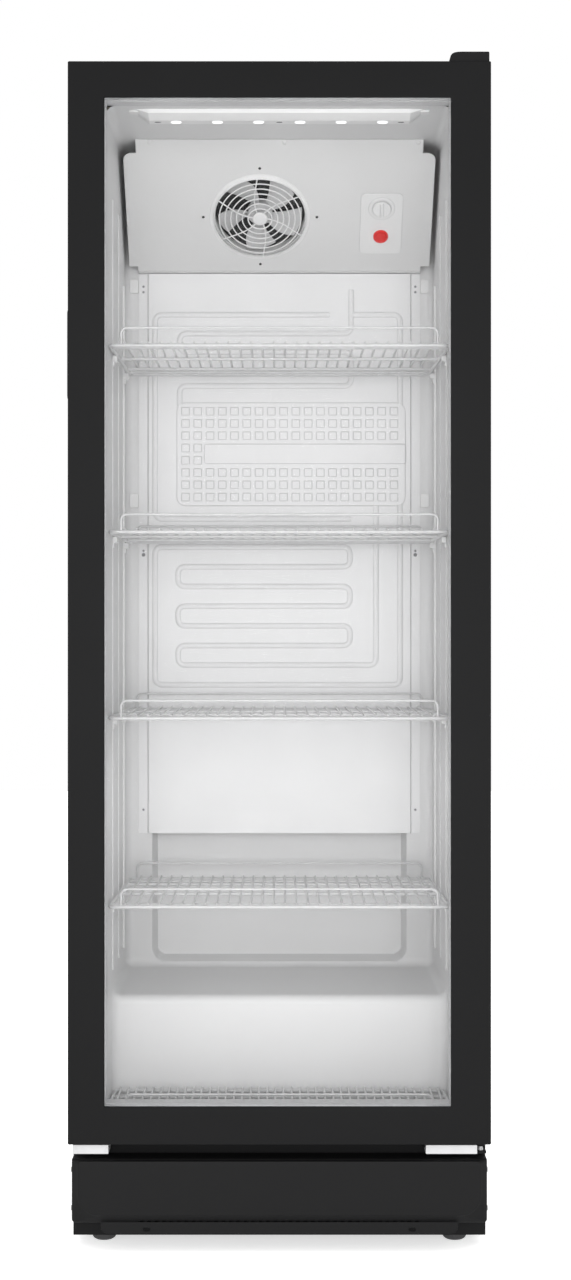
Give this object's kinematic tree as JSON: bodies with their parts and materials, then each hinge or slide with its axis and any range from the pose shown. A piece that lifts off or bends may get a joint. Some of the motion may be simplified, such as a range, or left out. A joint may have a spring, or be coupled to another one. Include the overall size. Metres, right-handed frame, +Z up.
{
  "type": "glass door merchandiser",
  "caption": "Upright refrigerated display cabinet with a hinged glass door, lift-out wire shelves, a cold plate, sloping fan cover, kick panel and screw feet.",
  "frame": {"origin": "on the floor under the middle of the closed cabinet", "axes": "+Z up, the door faces -Y, +X towards the hinge side"},
  "size_m": [0.6015, 0.601, 1.707],
  "materials": {
    "black_paint": "satin black powder coat",
    "black_plastic": "fine-grained black moulding",
    "white_paint": "smooth white coil coat",
    "white_plastic": "smooth white moulding",
    "grey_frame": "light grey extrusion",
    "glass_pane": "clear low-iron pane",
    "spacer_metal": "satin mill finish",
    "gasket_rubber": "soft black seal",
    "shelf_wire": "white powder-coated wire",
    "plate_aluminium": "white-lacquered roll-bonded plate",
    "zinc_steel": "zinc-plated",
    "galvanised": "galvanised sheet",
    "foam": "rigid foam",
    "red_plastic": "red translucent",
    "lens_clear": "frosted lens on white board",
    "copper": "drawn copper tube",
    "fan_grey": "light grey blade",
    "foot_rubber": "dark ribbed foot",
    "motor_black": "black motor can"
  },
  "bodies": {
    "cabinet": {"base_frame": "black_paint", "bottom_hinge_bracket": "zinc_steel", "compressor": "motor_black", "compressor_mounts": "gasket_rubber", "condenser": "galvanised", "condenser_fan_frame": "galvanised", "control_plate": "white_plastic", "corner_bracket": "zinc_steel", "electrical_box": "black_plastic", "evaporator_fan_motor": "motor_black", "evaporator_plate": "plate_aluminium", "fan_cover": "white_paint", "fan_guard": "white_plastic", "foam_insulation": "foam", "front_strips": "black_paint", "kick_panel": "black_paint", "lamp_housing": "white_plastic", "led_strip": "lens_clear", "liner_back": "white_paint", "liner_ceiling": "white_paint", "liner_floor": "white_paint", "liner_side_left": "white_paint", "liner_side_right": "white_paint", "mains_gland": "black_plastic", "panel_screws": "black_paint", "rear_grille": "galvanised", "rear_panel": "galvanised", "refrigerant_pipes": "copper", "shelf_supports": "white_plastic", "side_panel_left": "black_paint", "side_panel_right": "black_paint", "switch_bezel": "red_plastic", "thermostat": "white_plastic", "top_hinge_bracket": "zinc_steel", "top_hinge_cover": "black_plastic", "top_panel": "black_paint"},
    "door": {"door_stile_handle": "black_paint", "door_stile_hinge": "black_paint", "door_rail_top": "black_paint", "door_rail_bottom": "black_paint", "outer_glass": "glass_pane", "inner_glass": "glass_pane", "glass_spacer": "spacer_metal", "door_trim": "grey_frame", "door_gasket": "gasket_rubber", "door_handle": "black_plastic", "hinge_bushes": "white_plastic"},
    "evaporator_fan": {"evaporator_fan_blade": "fan_grey"},
    "condenser_fan": {"condenser_fan_blade": "black_plastic"},
    "knob": {"thermostat_knob": "white_plastic"},
    "button": {"switch_button": "red_plastic"},
    "shelf_1": {"shelf_1": "shelf_wire"},
    "shelf_2": {"shelf_2": "shelf_wire"},
    "shelf_3": {"shelf_3": "shelf_wire"},
    "shelf_4": {"shelf_4": "shelf_wire"},
    "bottom_rack": {"bottom_rack": "shelf_wire"},
    "foot_front_left": {"foot_front_left": "foot_rubber"},
    "foot_front_right": {"foot_front_right": "foot_rubber"},
    "foot_rear_left": {"foot_rear_left": "foot_rubber"},
    "foot_rear_right": {"foot_rear_right": "foot_rubber"}
  },
  "joints": [
    {"name": "door_swing", "type": "hinge", "parent": "cabinet", "child": "door", "pos_m": [0.287, -0.2755, 0.9], "axis": [0, 0, 1], "range_deg": [0, 110], "stiffness_Nm_per_rad": 2, "springref_deg": -20.05},
    {"name": "evaporator_fan_spin", "type": "hinge", "parent": "cabinet", "child": "evaporator_fan", "pos_m": [-0.0306, 0.07801, 1.55058], "axis": [0, -0.7071, -0.7071], "continuous": true},
    {"name": "condenser_fan_spin", "type": "hinge", "parent": "cabinet", "child": "condenser_fan", "pos_m": [-0.1492, 0.0025, 0.1305], "axis": [0, 1, 0], "continuous": true},
    {"name": "thermostat_turn", "type": "hinge", "parent": "cabinet", "child": "knob", "pos_m": [0.1615, 0.05652, 1.55298], "axis": [0, -0.7071, -0.7071], "range_deg": [-135, 135]},
    {"name": "switch_press", "type": "slide", "parent": "cabinet", "child": "button", "axis": [0, 0.7071, 0.7071], "range_m": [0, 0.002], "stiffness_N_per_m": 400, "springref_m": -0.002},
    {"name": "shelf_1_lift", "type": "slide", "parent": "cabinet", "child": "shelf_1", "axis": [0, 0, 1], "range_m": [0, 0.025]},
    {"name": "shelf_2_lift", "type": "slide", "parent": "cabinet", "child": "shelf_2", "axis": [0, 0, 1], "range_m": [0, 0.025]},
    {"name": "shelf_3_lift", "type": "slide", "parent": "cabinet", "child": "shelf_3", "axis": [0, 0, 1], "range_m": [0, 0.025]},
    {"name": "shelf_4_lift", "type": "slide", "parent": "cabinet", "child": "shelf_4", "axis": [0, 0, 1], "range_m": [0, 0.025]},
    {"name": "bottom_rack_lift", "type": "slide", "parent": "cabinet", "child": "bottom_rack", "axis": [0, 0, 1], "range_m": [0, 0.02]},
    {"name": "foot_front_left_turn", "type": "hinge", "parent": "cabinet", "child": "foot_front_left", "pos_m": [-0.255, -0.2075, 0.005], "axis": [0, 0, 1], "continuous": true},
    {"name": "foot_front_right_turn", "type": "hinge", "parent": "cabinet", "child": "foot_front_right", "pos_m": [0.255, -0.2075, 0.005], "axis": [0, 0, 1], "continuous": true},
    {"name": "foot_rear_left_turn", "type": "hinge", "parent": "cabinet", "child": "foot_rear_left", "pos_m": [-0.255, 0.2075, 0.005], "axis": [0, 0, 1], "continuous": true},
    {"name": "foot_rear_right_turn", "type": "hinge", "parent": "cabinet", "child": "foot_rear_right", "pos_m": [0.255, 0.2075, 0.005], "axis": [0, 0, 1], "continuous": true}
  ]
}
